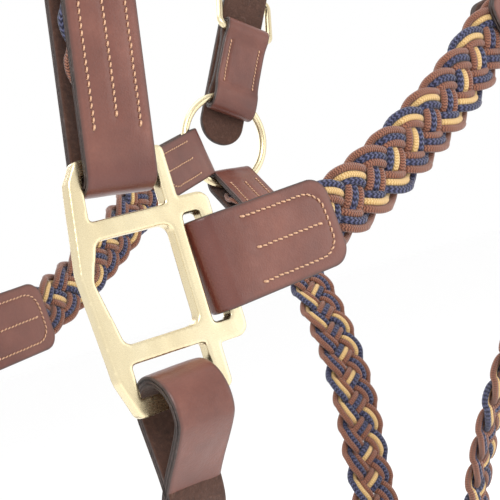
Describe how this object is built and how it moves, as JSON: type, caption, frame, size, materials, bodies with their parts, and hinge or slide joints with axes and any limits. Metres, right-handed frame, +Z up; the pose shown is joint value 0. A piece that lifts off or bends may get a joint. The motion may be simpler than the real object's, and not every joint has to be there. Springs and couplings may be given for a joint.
{
  "type": "headcollar",
  "caption": "Leather horse headcollar with flat plaited-cord noseband, cheekpieces and throatlatch, cast brass nose squares, rings, crown buckles and a throat snap",
  "frame": {"origin": "middle of the underside of the poll lining, where the headcollar hangs on the horse or on a peg", "axes": "+Z up, -X to the front of the horse, -Y the near (left) side; the two sides mirror each other in Y = 0 except for the throatlatch and its snap"},
  "size_m": [0.3652, 0.2442, 0.4288],
  "materials": {
    "leather": "chestnut bridle leather, smooth grain side, dark brown burnished edges, peach linen stitching",
    "lining": "soft chestnut lining leather",
    "cord": "braided polyester cord in brown, navy and beige, plaited flat",
    "brass": "satin cast brass"
  },
  "bodies": {
    "head_straps": {"crown_lining": "lining", "crown_strap": "leather", "far_buckle_frame": "brass", "far_cheek_lower_tab": "leather", "far_cheek_plait": "cord", "far_cheek_upper_tab": "leather", "far_chin_strap": "leather", "far_crown_chape": "leather", "far_nose_square": "brass", "far_noseband_tab": "leather", "far_throat_tab": "leather", "jaw_strap": "leather", "near_buckle_frame": "brass", "near_cheek_lower_tab": "leather", "near_cheek_plait": "cord", "near_cheek_upper_tab": "leather", "near_chin_strap": "leather", "near_crown_chape": "leather", "near_nose_square": "brass", "near_noseband_tab": "leather", "near_throat_tab": "leather", "noseband_plait": "cord", "snap_swivel_eye": "brass", "throat_plait": "cord"},
    "near_ring": {"near_cheek_ring": "brass"},
    "far_ring": {"far_cheek_ring": "brass"},
    "lead_ring_body": {"lead_ring": "brass"},
    "near_tongue": {"near_buckle_tongue": "brass"},
    "far_tongue": {"far_buckle_tongue": "brass"},
    "snap": {"snap_body": "brass"},
    "snap_bolt_body": {"snap_bolt": "brass"}
  },
  "joints": [
    {"name": "far_ring_spin", "type": "hinge", "parent": "head_straps", "child": "far_ring", "pos_m": [-0.0902, 0.1085, -0.17974], "axis": [0.238, 0.9666, 0.0951], "continuous": true},
    {"name": "near_ring_spin", "type": "hinge", "parent": "head_straps", "child": "near_ring", "pos_m": [-0.0902, -0.1085, -0.17974], "axis": [0.238, -0.9666, 0.0951], "continuous": true},
    {"name": "lead_ring_spin", "type": "hinge", "parent": "head_straps", "child": "lead_ring_body", "pos_m": [-0.31261, 0, -0.37833], "axis": [0, 0, 1], "continuous": true},
    {"name": "far_tongue_lift", "type": "hinge", "parent": "head_straps", "child": "far_tongue", "pos_m": [-0.06213, 0.09607, -0.12358], "axis": [-0.8666, 0.1672, 0.4701], "range_deg": [0, 18]},
    {"name": "near_tongue_lift", "type": "hinge", "parent": "head_straps", "child": "near_tongue", "pos_m": [-0.06213, -0.09607, -0.12358], "axis": [0.8666, 0.1672, -0.4701], "range_deg": [0, 18]},
    {"name": "snap_swivel", "type": "hinge", "parent": "head_straps", "child": "snap", "pos_m": [-0.09136, -0.11037, -0.20375], "axis": [-0.2568, 0.3987, -0.8804], "range_deg": [-15, 15]},
    {"name": "snap_bolt_slide", "type": "slide", "parent": "snap", "child": "snap_bolt_body", "axis": [-0.2568, 0.3987, -0.8804], "range_m": [0, 0.008], "stiffness_N_per_m": 250, "springref_m": -0.004}
  ]
}
